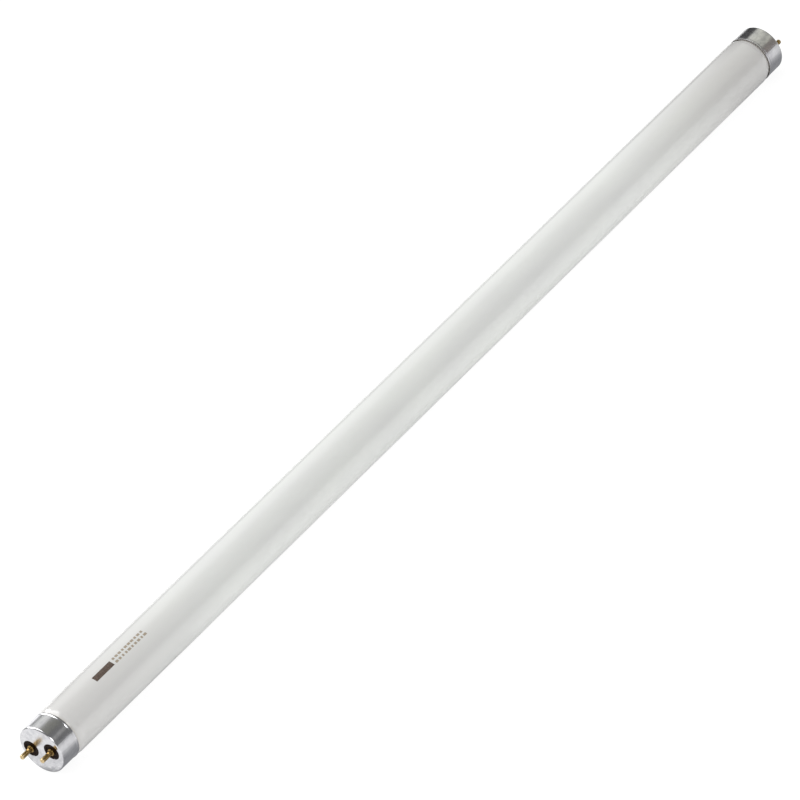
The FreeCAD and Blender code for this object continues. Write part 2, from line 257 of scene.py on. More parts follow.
@dataclass(frozen=True, kw_only=True)
class WornFinish(Finish):
    """A finish that drifts to a second shade in patches, rougher there, and has a fine relief.

    The lumps of each pattern have a real size, in millimetres along X, Y and Z. The relief
    follows the patches where it has no size of its own.
    """

    shade: str
    patches: Size
    most: float = 1.0
    rougher: float = 0.0
    patch_detail: float = 2.0
    relief: Size | None = None
    relief_detail: float = 2.0
    relief_depth: float = 0.0
    relief_strength: float = 0.2
    relief_socket: str = "Normal"
    noise_low: float = 0.3
    noise_high: float = 0.7

    def changes(self) -> list[Change]:
        """Say where along X the colour changes to another shade, from, to and the shade."""
        return []

    def lumps(self, tree: bpy.types.NodeTree, size: Size, detail: float) -> bpy.types.Node:
        """Lay out a random pattern whose lumps have a real size.

        Args:
            tree: the material's tree.
            size: how large the lumps are along X, Y and Z, in millimetres.
            detail: how much finer noise lies on the lumps.

        Returns:
            The node that gives 0 in the hollows and 1 on the lumps.
        """
        place = add_node(tree, "ShaderNodeTexCoord").outputs["Object"]
        per_metre = tuple(1 / (side * MM) for side in size)
        scaled = add_node(tree, VECTOR_MATH, {0: place, 1: per_metre}, operation="MULTIPLY")
        noise = add_node(tree, NOISE, {"Vector": scaled, "Scale": 1.0, "Detail": detail})
        usual = {"Value": noise, "From Min": self.noise_low, "From Max": self.noise_high}
        return add_node(tree, MAP_RANGE, usual)

    def rise(self, tree: bpy.types.NodeTree, start: float, stop: float) -> bpy.types.Node:
        """Lay out a smooth rise along X.

        Args:
            tree: the material's tree.
            start: where it begins, in millimetres.
            stop: where it is complete, in millimetres.

        Returns:
            The node that gives 0 before the start and 1 beyond the stop.
        """
        place = add_node(tree, "ShaderNodeTexCoord").outputs["Object"]
        along = add_node(tree, SEPARATE, {0: place})
        reach = {"Value": along, "From Min": start * MM, "From Max": stop * MM}
        return add_node(tree, MAP_RANGE, reach, interpolation_type="SMOOTHSTEP")

    def material(self) -> bpy.types.Material:
        """Make the material.

        Returns:
            The material.
        """
        material, tree, shader = self.start()
        patches = self.lumps(tree, self.patches, self.patch_detail)
        drift = add_node(tree, MATH, {0: patches, 1: self.most}, operation="MULTIPLY")
        shades = [(drift, self.shade)]
        shades += [(self.rise(tree, start, stop), shade) for start, stop, shade in self.changes()]
        colour = linear(self.colour)
        for share, shade in shades:
            sides = {0: share, 6: colour, 7: linear(shade)}
            colour = add_node(tree, MIX, sides, data_type="RGBA").outputs[2]
        tree.links.new(colour, shader.inputs["Base Color"])
        if self.rougher:
            most = self.roughness + self.rougher
            reach = {"Value": patches, "To Min": self.roughness, "To Max": most}
            tree.links.new(add_node(tree, MAP_RANGE, reach).outputs[0], shader.inputs["Roughness"])
        if self.relief_depth:
            height = self.lumps(tree, self.relief, self.relief_detail) if self.relief else patches
            depth = self.relief_depth * MM
            form = {"Strength": self.relief_strength, "Distance": depth, "Height": height}
            bump = add_node(tree, "ShaderNodeBump", form)
            tree.links.new(bump.outputs[0], shader.inputs[self.relief_socket])
        return material


@dataclass(frozen=True, kw_only=True)
class CoatedGlass(WornFinish):
    """Drawn soda-lime glass over a baked phosphor coat: a matt white seen through a clear gloss.

    The glass mirrors twice, sharply at its outer face, with the long soft waves of drawing, and
    more softly at its inner one. The coat is faintly cloudy. Towards both ends its colour is
    painted greyer, the right end more so: painted shade for the light falling off along the
    tube. It is warmer beside the caps.
    """

    mouth: float
    name: str = "coated_soda_lime_glass"
    colour: str = "#E5E7E3"
    roughness: float = 0.32
    shade: str = "#E0E1DF"
    patches: Size = (60.0, 14.0, 14.0)
    relief: Size = (70.0, 11.0, 11.0)
    relief_detail: float = 0.0
    relief_depth: float = 0.05
    relief_socket: str = "Coat Normal"
    # painted shade: the coat greyer towards the left end, and more so towards the right
    painted_end_shade_left: str = "#D6D5D3"
    painted_end_shade_right: str = "#CAC9C7"
    painted_end_shade_length: float = 130.0
    warm_end: str = "#D6D1CA"
    warm_length: float = 1.6
    gloss_roughness: float = 0.09
    glass_ior: float = 1.52

    def uniform(self) -> dict[str, object]:
        """Name the uniform values, with the outer face of the glass as a clear coat."""
        gloss = {"Coat Weight": 1.0, "Coat Roughness": self.gloss_roughness, "Coat IOR": self.glass_ior}
        return super().uniform() | {"IOR": self.glass_ior} | gloss

    def changes(self) -> list[Change]:
        """Say where the coat takes its painted shade and warms, up to the mouth of each cap."""
        zones = (
            (End.LEFT, self.painted_end_shade_length, self.painted_end_shade_left),
            (End.RIGHT, self.painted_end_shade_length, self.painted_end_shade_right),
            (End.LEFT, self.warm_length, self.warm_end),
            (End.RIGHT, self.warm_length, self.warm_end),
        )
        return [
            (end.value * (self.mouth - length), end.value * self.mouth, shade)
            for end, length, shade in zones
        ]


@dataclass(frozen=True)
class DrawnAluminium(WornFinish):
    """Thin aluminium sheet, deep drawn to a cup: satin, with draw lines that run along the skirt.

    It is duller and rougher in patches, where it was handled. Real draw lines are a few
    hundredths of a millimetre apart; these are as coarse as they need to be to show.
    """

    name: str = "drawn_aluminium"
    colour: str = "#E0E0E2"
    roughness: float = 0.165
    metallic: float = 1.0
    shade: str = "#C4C4C9"
    most: float = 0.7
    rougher: float = 0.09
    patches: Size = (4.0, 2.4, 2.4)
    relief: Size = (14.0, 0.7, 0.7)
    relief_detail: float = 3.0
    relief_depth: float = 0.045


@dataclass(frozen=True)
class MouldedPhenolic(WornFinish):
    """Phenolic with a wood-flour filler, pressed in a polished mould: nearly black, semi-gloss.

    The flour shows as fine brown flecks, which stand a little proud.
    """

    name: str = "moulded_phenolic"
    colour: str = "#0D0704"
    roughness: float = 0.24
    specular: float = 0.045
    shade: str = "#2A1609"
    rougher: float = 0.13
    patches: Size = (0.35, 0.35, 0.35)
    relief_depth: float = 0.006
    relief_strength: float = 0.3


@dataclass(frozen=True, kw_only=True)
class DrawnBrass(WornFinish):
    """Drawn brass tube with a thin brown tarnish in patches and fine lines along the pin.

    The lines are drawn several times as coarse as real ones, so that they show. The tips are
    painted brighter: partly brass that a holder's contacts wiped clean, partly a painted
    highlight for the glint on their rounded ends.
    """

    tip: float
    name: str = "drawn_brass"
    colour: str = "#A58A55"
    roughness: float = 0.27
    metallic: float = 1.0
    shade: str = "#644A29"
    most: float = 0.8
    rougher: float = 0.14
    patches: Size = (2.4, 1.1, 1.1)
    patch_detail: float = 3.0
    relief: Size = (3.0, 0.12, 0.12)
    relief_depth: float = 0.004
    # painted highlight, partly wiped brass: the tips painted brighter
    wiped_tip_highlight: str = "#DCC496"
    wiped_tip_highlight_length: float = 2.0

    def changes(self) -> list[Change]:
        """Say where the tips are painted brighter, as wiped brass and painted highlight."""
        start = self.tip - self.wiped_tip_highlight_length
        return [(end.value * start, end.value * self.tip, self.wiped_tip_highlight) for end in End]


@dataclass(frozen=True)
class NickelWire(WornFinish):
    """Nickel-plated wire, annealed by the sealing fire: a soft grey with a little yellow."""

    name: str = "nickel_wire"
    colour: str = "#CBC4B6"
    roughness: float = 0.3
    metallic: float = 1.0
    shade: str = "#A79C88"
    most: float = 0.6
    rougher: float = 0.1
    patches: Size = (1.2, 0.5, 0.5)
    relief_depth: float = 0.004


@dataclass(frozen=True)
class BakedCement(WornFinish):
    """Resin and stone-flour cement, baked hard: matt, cream to tan, with a sandy grain."""

    name: str = "baked_cement"
    colour: str = "#BFB6A4"
    roughness: float = 0.85
    shade: str = "#94856C"
    most: float = 0.8
    patches: Size = (0.4, 0.4, 0.4)
    patch_detail: float = 4.0
    relief_depth: float = 0.02
    relief_strength: float = 0.6


@dataclass(frozen=True, kw_only=True)
class StampedInk(WornFinish):
    """Ink stamped on the glass and baked: matt dark brown where it is broad, tan where it is fine."""

    fine_from: float
    name: str = "stamped_ink"
    colour: str = "#46362C"
    roughness: float = 0.55
    shade: str = "#6E5C50"
    most: float = 0.8
    patches: Size = (0.7, 0.7, 0.7)
    patch_detail: float = 3.0
    thin: str = "#A09482"
    thinning_length: float = 1.0

    def changes(self) -> list[Change]:
        """Say where the fine marks begin."""
        return [(self.fine_from - self.thinning_length, self.fine_from, self.thin)]


@dataclass(frozen=True)
class LitTable(Finish):
    """The studio's floor: a white sheet lit from below, so that only a faint shadow shows on it.

    The picture shows it nearly all glow. To matt surfaces it adds a little glow to what it
    reflects, and to glossy ones it is a plain white reflector.
    """

    name: str = "lit_table"
    colour: str = "#E8E8E8"
    roughness: float = 0.9
    specular: float = 0.0
    glow: float = 0.93
    shown_share: str = "#666666"
    bounce: float = 0.4

    def material(self) -> bpy.types.Material:
        """Make the material.

        Returns:
            The material.
        """
        material, tree, shader = self.start()
        path = add_node(tree, "ShaderNodeLightPath")
        bounced = {0: path.outputs["Is Diffuse Ray"], 1: self.bounce}
        lift = add_node(tree, MATH, bounced, operation="MULTIPLY")
        upward = add_node(tree, "ShaderNodeEmission", {"Strength": lift})
        plain = add_node(tree, "ShaderNodeAddShader", {0: shader, 1: upward})
        sheet = add_node(tree, "ShaderNodeBsdfDiffuse", {"Color": linear(self.shown_share)})
        light = add_node(tree, "ShaderNodeEmission", {"Strength": self.glow})
        lit = add_node(tree, "ShaderNodeAddShader", {0: sheet, 1: light})
        sides = {0: path.outputs["Is Camera Ray"], 1: plain, 2: lit}
        seen = add_node(tree, "ShaderNodeMixShader", sides)
        tree.links.new(seen.outputs[0], tree.nodes["Material Output"].inputs["Surface"])
        return material


class MakerTree(ABC):
    """A Geometry Nodes tree with named inputs, which ends in real geometry with its material."""

    NAME: str
    INPUTS: dict[str, str]
    CLOSING_GAP = 0.0004 * MM

    def __init__(self) -> None:
        """Build the tree."""
        self.tree = bpy.data.node_groups.new(self.NAME, "GeometryNodeTree")
        add_socket = self.tree.interface.new_socket
        add_socket("Geometry", in_out="INPUT", socket_type="NodeSocketGeometry")
        for label, kind in self.INPUTS.items():
            add_socket(label, in_out="INPUT", socket_type=kind)
        add_socket("Geometry", in_out="OUTPUT", socket_type="NodeSocketGeometry")
        inputs = add_node(self.tree, "NodeGroupInput")
        self.given = {socket.name: socket for socket in inputs.outputs if socket.name}
        real = add_node(self.tree, "GeometryNodeRealizeInstances", {"Geometry": self.shape()})
        dressing = {"Geometry": real, "Material": self.given["Finish"]}
        dressed = add_node(self.tree, "GeometryNodeSetMaterial", dressing)
        add_node(self.tree, "NodeGroupOutput", {"Geometry": dressed})

    @abstractmethod
    def shape(self) -> bpy.types.Node:
        """Add the nodes that give the piece its shape."""

    def around(
        self,
        along: bpy.types.NodeSocket,
        angle: bpy.types.Node,
        out: bpy.types.Node | bpy.types.NodeSocket,
    ) -> bpy.types.Node:
        """Work out places round the axis.

        Args:
            along: how far along X they are.
            angle: their angle from +Y towards +Z.
            out: how far from the axis they are.

        Returns:
            The node that gives the places.
        """
        sides = []
        for operation in ("COSINE", "SINE"):
            wave = add_node(self.tree, MATH, {0: angle}, operation=operation)
            sides.append(add_node(self.tree, MATH, {0: wave, 1: out}, operation="MULTIPLY"))
        return add_node(self.tree, COMBINE, {"X": along, "Y": sides[0], "Z": sides[1]})

    def run(self, name: str, values: dict, points: Outline | None = None) -> bpy.types.Object:
        """Run the tree and keep its result as a plain mesh.

        Args:
            name: the piece's name.
            values: a value for each of the tree's inputs, by name.
            points: places along and out from the axis, in millimetres, given to the tree in order.

        Returns:
            The finished piece, with its place in its mesh.
        """
        seed = bpy.data.meshes.new(f"{name}_outline")
        seed.from_pydata([(along * MM, out * MM, 0.0) for along, out in points or []], [], [])
        maker = add_object(f"{name}_maker", seed)
        modifier = maker.modifiers.new("Maker", "NODES")
        modifier.node_group = self.tree
        for socket in self.tree.interface.items_tree:
            if socket.in_out == "INPUT" and socket.name in values:
                modifier[socket.identifier] = values[socket.name]
        graph = bpy.context.evaluated_depsgraph_get()
        graph.update()
        mesh = bpy.data.meshes.new_from_object(
            maker.evaluated_get(graph), preserve_all_data_layers=True, depsgraph=graph
        )
        mesh.name = name
        bpy.data.objects.remove(maker)
        return add_object(name, mesh)


class TurningTree(MakerTree):
    """Turns an outline once round X, then presses dents and roughens the surface."""

    NAME = "turning"
    INPUTS = {
        "Spokes": "NodeSocketInt",
        "Seam Gap": "NodeSocketFloat",
        "Sharp Angle": "NodeSocketFloat",
        "Dent Place": "NodeSocketFloat",
        "Dent Reach": "NodeSocketFloat",
        "Dent Width": "NodeSocketFloat",
        "Dent Depth": "NodeSocketFloat",
        "Grain Size": "NodeSocketFloat",
        "Grain Depth": "NodeSocketFloat",
        "Finish": "NodeSocketMaterial",
    }
    SHARP_ANGLE = math.radians(32)
    GRAIN_DETAIL = 3.0

    def shape(self) -> bpy.types.Node:
        """Turn, press and roughen the surface, and shade it smooth but for its sharp edges.

        Returns:
            The node that gives the piece.
        """
        rough = self.roughen(self.press(self.turn()))
        smooth = add_node(self.tree, "GeometryNodeSetShadeSmooth", {"Geometry": rough}, domain="FACE")
        bend = {0: add_node(self.tree, "GeometryNodeInputMeshEdgeAngle"), 1: self.given["Sharp Angle"]}
        sharp = add_node(self.tree, "FunctionNodeCompare", bend, operation="GREATER_THAN")
        creased = {"Geometry": smooth, "Selection": sharp, "Shade Smooth": False}
        return add_node(self.tree, "GeometryNodeSetShadeSmooth", creased, domain="EDGE")

    def turn(self) -> bpy.types.Node:
        """Lay a grid of outline points by spokes round the axis, close it and face it outwards.

        Returns:
            The node that gives the turned surface.
        """
        tree, given = self.tree, self.given
        outline = given["Geometry"]
        count = add_node(
            tree, "GeometryNodeAttributeDomainSize", {"Geometry": outline}, component="MESH"
        )
        columns = add_node(tree, MATH, {0: given["Spokes"], 1: 1.0}, operation="ADD")
        grid = add_node(tree, "GeometryNodeMeshGrid", {"Vertices X": count, "Vertices Y": columns})
        index = add_node(tree, "GeometryNodeInputIndex")
        centred = add_node(tree, MATH, {0: index, 1: 0.5}, operation="ADD")
        ratio = add_node(tree, MATH, {0: centred, 1: columns}, operation="DIVIDE")
        ring = add_node(tree, MATH, {0: ratio}, operation="FLOOR")
        passed = add_node(tree, MATH, {0: ring, 1: columns}, operation="MULTIPLY")
        spoke = add_node(tree, MATH, {0: index, 1: passed}, operation="SUBTRACT")
        turned = add_node(tree, MATH, {0: spoke, 1: math.tau}, operation="MULTIPLY")
        angle = add_node(tree, MATH, {0: turned, 1: given["Spokes"]}, operation="DIVIDE")
        place = add_node(tree, "GeometryNodeInputPosition")
        sample = add_node(
            tree,
            "GeometryNodeSampleIndex",
            {"Geometry": outline, "Value": place, "Index": ring},
            data_type="FLOAT_VECTOR",
            domain="POINT",
        )
        parts = add_node(tree, SEPARATE, {0: sample})
        around = self.around(parts.outputs["X"], angle, parts.outputs["Y"])
        laid = add_node(tree, "GeometryNodeSetPosition", {"Geometry": grid, "Position": around})
        seam = {"Geometry": laid, "Distance": given["Seam Gap"]}
        closed = add_node(tree, "GeometryNodeMergeByDistance", seam)
        return add_node(tree, "GeometryNodeFlipFaces", {"Mesh": closed})

    def press(self, surface: bpy.types.Node) -> bpy.types.Node:
        """Press a rounded dent into the top and the bottom, towards the axis.

        Args:
            surface: the node that gives the turned surface.

        Returns:
            The node that gives the dented surface.
        """
        tree, given = self.tree, self.given
        place = add_node(tree, "GeometryNodeInputPosition")
        parts = add_node(tree, SEPARATE, {0: place})
        off = add_node(tree, MATH, {0: parts.outputs["X"], 1: given["Dent Place"]}, operation="SUBTRACT")
        along = add_node(tree, MATH, {0: off, 1: given["Dent Reach"]}, operation="DIVIDE")
        across = add_node(tree, MATH, {0: parts.outputs["Y"], 1: given["Dent Width"]}, operation="DIVIDE")
        spot = add_node(tree, COMBINE, {"X": along, "Y": across})
        far = add_node(tree, VECTOR_MATH, {0: spot}, operation="LENGTH")
        fade = {"Value": far.outputs["Value"], "To Min": 1.0, "To Max": 0.0}
        bowl = add_node(tree, MAP_RANGE, fade, interpolation_type="SMOOTHSTEP")
        depth = add_node(tree, MATH, {0: bowl, 1: given["Dent Depth"]}, operation="MULTIPLY")
        side = add_node(tree, MATH, {0: parts.outputs["Z"]}, operation="SIGN")
        inwards = add_node(tree, MATH, {0: side, 1: -1.0}, operation="MULTIPLY")
        drop = add_node(tree, MATH, {0: depth, 1: inwards}, operation="MULTIPLY")
        offset = add_node(tree, COMBINE, {"Z": drop})
        return add_node(tree, "GeometryNodeSetPosition", {"Geometry": surface, "Offset": offset})

    def roughen(self, surface: bpy.types.Node) -> bpy.types.Node:
        """Sink the surface unevenly along its normal, never past its outline.

        Args:
            surface: the node that gives the pressed surface.

        Returns:
            The node that gives the roughened surface.
        """
        tree, given = self.tree, self.given
        place = add_node(tree, "GeometryNodeInputPosition")
        fine = add_node(tree, VECTOR_MATH, {0: place, 1: given["Grain Size"]}, operation="DIVIDE")
        noise = add_node(tree, NOISE, {"Vector": fine, "Scale": 1.0, "Detail": self.GRAIN_DETAIL})
        sunk = add_node(tree, MATH, {0: noise, 1: given["Grain Depth"]}, operation="MULTIPLY")
        inwards = add_node(tree, MATH, {0: sunk, 1: -1.0}, operation="MULTIPLY")
        normal = add_node(tree, "GeometryNodeInputNormal")
        offset = add_node(tree, VECTOR_MATH, {0: normal, "Scale": inwards}, operation="SCALE")
        return add_node(tree, "GeometryNodeSetPosition", {"Geometry": surface, "Offset": offset})

    def make(
        self, name: str, outline: Outline, spokes: int, finish: bpy.types.Material, **shape: float
    ) -> bpy.types.Object:
        """Turn one piece.

        Args:
            name: the piece's name.
            outline: its section along and out from the axis, in millimetres.
            spokes: how many stretches there are round the axis.
            finish: its material.
            **shape: dent_place, dent_reach, dent_width, dent_depth, grain_size and grain_depth,
                in millimetres.

        Returns:
            The finished piece.
        """
        values = {
            "Spokes": spokes,
            "Seam Gap": self.CLOSING_GAP,
            "Sharp Angle": self.SHARP_ANGLE,
            "Dent Reach": 1.0,
            "Dent Width": 1.0,
            "Grain Size": 1.0,
            "Finish": finish,
        }
        for key, value in shape.items():
            values[key.replace("_", " ").title()] = value * MM
        return self.run(name, values, outline)


class MarkTree(MakerTree):
    """Lays a plain block and two rows of dashes on the glass, as thin raised ink."""

    NAME = "printed_mark"
    INPUTS = {
        "Glass Radius": "NodeSocketFloat",
        "Start": "NodeSocketFloat",
        "Angle": "NodeSocketFloat",
        "Block Length": "NodeSocketFloat",
        "Block Height": "NodeSocketFloat",
        "Dash Count": "NodeSocketInt",
        "Dash Pitch": "NodeSocketFloat",
        "Dash Height": "NodeSocketFloat",
        "Row Pitch": "NodeSocketFloat",
        "Ink Thickness": "NodeSocketFloat",
        "Seed": "NodeSocketInt",
        "Finish": "NodeSocketMaterial",
    }
    BLOCK_GRID = {"Vertices X": 24, "Vertices Y": 10}
    DASH_GRID = {"Size X": 1.0, "Size Y": 1.0, "Vertices X": 4, "Vertices Y": 5}
    SHORTEST_DASH, LONGEST_DASH = 0.45, 0.86

    def shape(self) -> bpy.types.Node:
        """Lay the block and the dashes, thicken them and wrap them round the glass.

        Returns:
            The node that gives the marks.
        """
        flat = add_node(self.tree, "GeometryNodeJoinGeometry")
        for part in (self.block(), self.dashes()):
            self.tree.links.new(part.outputs[0], flat.inputs[0])
        return self.wrap(self.thicken(flat))

    def block(self) -> bpy.types.Node:
        """Lay the solid block that the rows of dashes follow.

        Returns:
            The node that gives the flat block.
        """
        tree, given = self.tree, self.given
        size = {"Size X": given["Block Length"], "Size Y": given["Block Height"]}
        grid = add_node(tree, "GeometryNodeMeshGrid", size | self.BLOCK_GRID)
        half = add_node(tree, MATH, {0: given["Block Length"], 1: 0.5}, operation="MULTIPLY")
        middle = add_node(tree, MATH, {0: given["Start"], 1: half}, operation="ADD")
        place = add_node(tree, COMBINE, {"X": middle})
        return add_node(tree, "GeometryNodeTransform", {"Geometry": grid, "Translation": place})

    def dashes(self) -> bpy.types.Node:
        """Lay two rows of dashes after the block, each a random share of the pitch long.

        Returns:
            The node that gives the flat dashes.
        """
        tree, given = self.tree, self.given
        pitch = given["Dash Pitch"]
        gap = add_node(tree, MATH, {0: given["Start"], 1: given["Block Length"]}, operation="ADD")
        first = add_node(tree, MATH, {0: gap, 1: pitch}, operation="ADD")
        half_row = add_node(tree, MATH, {0: given["Row Pitch"], 1: -0.5}, operation="MULTIPLY")
        row_start = add_node(tree, COMBINE, {"Y": half_row})
        row_step = add_node(tree, COMBINE, {"Y": given["Row Pitch"]})
        two_rows = {"Count": 2, "Start Location": row_start, "Offset": row_step}
        rows = add_node(tree, "GeometryNodeMeshLine", two_rows)
        start = add_node(tree, COMBINE, {"X": first})
        step = add_node(tree, COMBINE, {"X": pitch})
        one_row = {"Count": given["Dash Count"], "Start Location": start, "Offset": step}
        line = add_node(tree, "GeometryNodeMeshLine", one_row)
        lines = add_node(tree, "GeometryNodeInstanceOnPoints", {"Points": rows, "Instance": line})
        points = add_node(tree, "GeometryNodeRealizeInstances", {"Geometry": lines})
        dash = add_node(tree, "GeometryNodeMeshGrid", self.DASH_GRID)
        index = add_node(tree, "GeometryNodeInputIndex")
        shares = {2: self.SHORTEST_DASH, 3: self.LONGEST_DASH, "ID": index, "Seed": given["Seed"]}
        share = add_node(tree, "FunctionNodeRandomValue", shares, data_type="FLOAT")
        length = add_node(tree, MATH, {0: share.outputs[1], 1: pitch}, operation="MULTIPLY")
        size = add_node(tree, COMBINE, {"X": length, "Y": given["Dash Height"], "Z": 1.0})
        placing = {"Points": points, "Instance": dash, "Scale": size}
        laid = add_node(tree, "GeometryNodeInstanceOnPoints", placing)
        return add_node(tree, "GeometryNodeRealizeInstances", {"Geometry": laid})

    def thicken(self, flat: bpy.types.Node) -> bpy.types.Node:
        """Give the flat ink its thickness, closed underneath.

        Args:
            flat: the node that gives the flat marks.

        Returns:
            The node that gives closed marks.
        """
        tree, given = self.tree, self.given
        up = add_node(tree, COMBINE, {"Z": given["Ink Thickness"]})
        raise_by = {"Mesh": flat, "Offset": up, "Offset Scale": 1.0, "Individual": False}
        raised = add_node(tree, "GeometryNodeExtrudeMesh", raise_by)
        under = add_node(tree, "GeometryNodeFlipFaces", {"Mesh": flat})
        both = add_node(tree, "GeometryNodeJoinGeometry")
        for part in (raised, under):
            tree.links.new(part.outputs[0], both.inputs[0])
        seam = {"Geometry": both, "Distance": self.CLOSING_GAP}
        return add_node(tree, "GeometryNodeMergeByDistance", seam)

    def wrap(self, marks: bpy.types.Node) -> bpy.types.Node:
        """Wrap the marks round the glass.

        Args:
            marks: the node that gives the closed flat marks.

        Returns:
            The node that gives the marks on the glass.
        """
        tree, radius = self.tree, self.given["Glass Radius"]
        place = add_node(tree, "GeometryNodeInputPosition")
        parts = add_node(tree, SEPARATE, {0: place})
        turn = add_node(tree, MATH, {0: parts.outputs["Y"], 1: radius}, operation="DIVIDE")
        angle = add_node(tree, MATH, {0: self.given["Angle"], 1: turn}, operation="SUBTRACT")
        out = add_node(tree, MATH, {0: parts.outputs["Z"], 1: radius}, operation="ADD")
        around = self.around(parts.outputs["X"], angle, out)
        return add_node(tree, "GeometryNodeSetPosition", {"Geometry": marks, "Position": around})


@dataclass
class Glass:
    """The sealed glass: a drawn tube, a narrower neck at each end, and the stem turned back into it."""

    radius: float
    cap_face: float
    skirt_length: float
    neck_radius: float = 11.65
    shoulder_length: float = 2.6
    shoulder_round: float = 9.0
    neck_root_round: float = 0.8
    neck_start: float = 0.3
    seal_depth: float = 4.6
    seal_thickness: float = 1.5
    seal_round: float = 0.65
    flare_depth: float = 12.0
    flare_round: float = 4.0
    stem_radius: float = 4.75
    stem_depth: float = 20.0
    stem_bottom_round: float = 1.1
    stub_radius: float = 2.2
    stub_tip_round: float = 1.7
    stub_setback: float = 3.55
    longest_stretch: float = 6.0
    spokes: int = 192

    def outline(self) -> Outline:
        """Draw the section from the left stub, over the outside, to the right one.

        Returns:
            The section's points, in millimetres.
        """
        shoulder_end = self.cap_face - self.skirt_length + self.neck_start
        rim = self.cap_face - self.seal_depth
        bottom = rim - self.stem_depth
        tip = self.cap_face - self.stub_setback
        right = [
            (shoulder_end - self.shoulder_length, self.radius, self.shoulder_round),
            (shoulder_end, self.neck_radius, self.neck_root_round),
            (rim, self.neck_radius, self.seal_round),
            (rim, self.neck_radius - self.seal_thickness, self.seal_round),
            (rim - self.flare_depth, self.stem_radius, self.flare_round),
            (bottom, self.stem_radius, self.stem_bottom_round),
            (bottom, self.stub_radius, self.stem_bottom_round),
            (tip, self.stub_radius, self.stub_tip_round),
            (tip, 0.0),
        ]
        left = [(-place[0], *place[1:]) for place in reversed(right)]
        return round_corners(left + right, closed=False, longest=self.longest_stretch)

    def build(self, turning: TurningTree) -> bpy.types.Object:
        """Turn the glass and dress it.

        Args:
            turning: the tree that turns it.

        Returns:
            The finished glass.
        """
        coated = CoatedGlass(mouth=self.cap_face - self.skirt_length).material()
        return turning.make("coated_glass_tube", self.outline(), self.spokes, coated)


@dataclass
class Cap:
    """One two-pin cap: its own turned pins and cement ring, with the CAD's shell and insulator."""

    end: End
    cap_face: float
    pin_place: float
    skirt_bore: float = 12.1
    neck_radius: float = 11.65
    mouth: float = -9.6
    cement_length: float = 4.6
    cement_round: float = 0.2
    cement_round_steps: int = 3
    cement_stretch: float = 0.3
    cement_spokes: int = 240
    cement_grain: float = 0.5
    cement_grain_depth: float = 0.03
    plate_back: float = -1.95
    seat: float = -0.15
    pin_radius: float = 1.175
    pin_wall: float = 0.42
    pin_length: float = 7.1
    pin_stretch: float = 0.16
    pin_spokes: int = 72
    tip_wall: float = 0.5
    tip_round: float = 0.55
    tip_hole: float = 0.35
    collar_radius: float = 1.8
    collar_thickness: float = 0.8
    collar_round: float = 0.25
    rivet_flare: float = 0.5
    crimp_place: float = 2.5
    crimp_reach: float = 0.95
    crimp_width: float = 1.0
    crimp_depth: float = 0.5

    def to_frame(self, piece: bpy.types.Object, across: float = 0.0) -> None:
        """Move a piece from the cap's own coordinates to its end of the lamp.

        Args:
            piece: the piece, drawn with the cap's face at x = 0 and its outside along +X.
            across: its place along Y, in millimetres.
        """
        turned = Matrix.Rotation(0 if self.end is End.RIGHT else math.pi, 4, "Z")
        place = Matrix.Translation((self.end.value * self.cap_face * MM, across * MM, 0.0))
        piece.data.transform(place @ turned)

    def pin_outline(self) -> Outline:
        """Draw the section of a hollow pin, from its flared back end round to its bore.

        Returns:
            The section's points, in millimetres.
        """
        bore = self.pin_radius - self.pin_wall
        flare_end = self.plate_back + self.rivet_flare
        collar_top = self.seat + self.collar_thickness
        inside_tip = self.pin_length - self.tip_wall
        corners = [
            (self.plate_back, self.pin_radius + self.rivet_flare),
            (flare_end, self.pin_radius),
            (self.seat, self.pin_radius),
            (self.seat, self.collar_radius),
            (collar_top, self.collar_radius, self.collar_round),
            (collar_top, self.pin_radius, self.collar_round / 2),
            (self.pin_length, self.pin_radius, self.tip_round),
            (self.pin_length, self.tip_hole),
            (inside_tip, self.tip_hole),
            (inside_tip, bore),
            (flare_end, bore),
            (self.plate_back, bore + self.rivet_flare),
        ]
        return round_corners(corners, closed=True, longest=self.pin_stretch)

    def build_pin(self, row: Row, turning: TurningTree, brass: bpy.types.Material) -> bpy.types.Object:
        """Turn a pin and press its crimps.

        Args:
            row: which of the cap's pins it is.
            turning: the tree that turns it.
            brass: its material.

        Returns:
            The finished pin.
        """
        pin = turning.make(
            f"{self.end.word}_{row.word}_contact_pin",
            self.pin_outline(),
            self.pin_spokes,
            brass,
            dent_place=self.crimp_place,
            dent_reach=self.crimp_reach,
            dent_width=self.crimp_width,
            dent_depth=self.crimp_depth,
        )
        self.to_frame(pin, row.value * self.pin_place)
        return pin

    def build_cement(self, turning: TurningTree, cement: bpy.types.Material) -> bpy.types.Object:
        """Turn the ring of cement that bonds the skirt to the neck of the glass.

        Args:
            turning: the tree that turns it.
            cement: its material.

        Returns:
            The finished ring.
        """
        inner = self.mouth + self.cement_length
        corners = [
            (self.mouth, self.neck_radius, self.cement_round),
            (self.mouth, self.skirt_bore, self.cement_round),
            (inner, self.skirt_bore, self.cement_round),
            (inner, self.neck_radius, self.cement_round),
        ]
        ring = turning.make(
            f"{self.end.word}_baked_cement",
            round_corners(corners, True, self.cement_stretch, self.cement_round_steps),
            self.cement_spokes,
            cement,
            grain_size=self.cement_grain,
            grain_depth=self.cement_grain_depth,
        )
        self.to_frame(ring)
        return ring


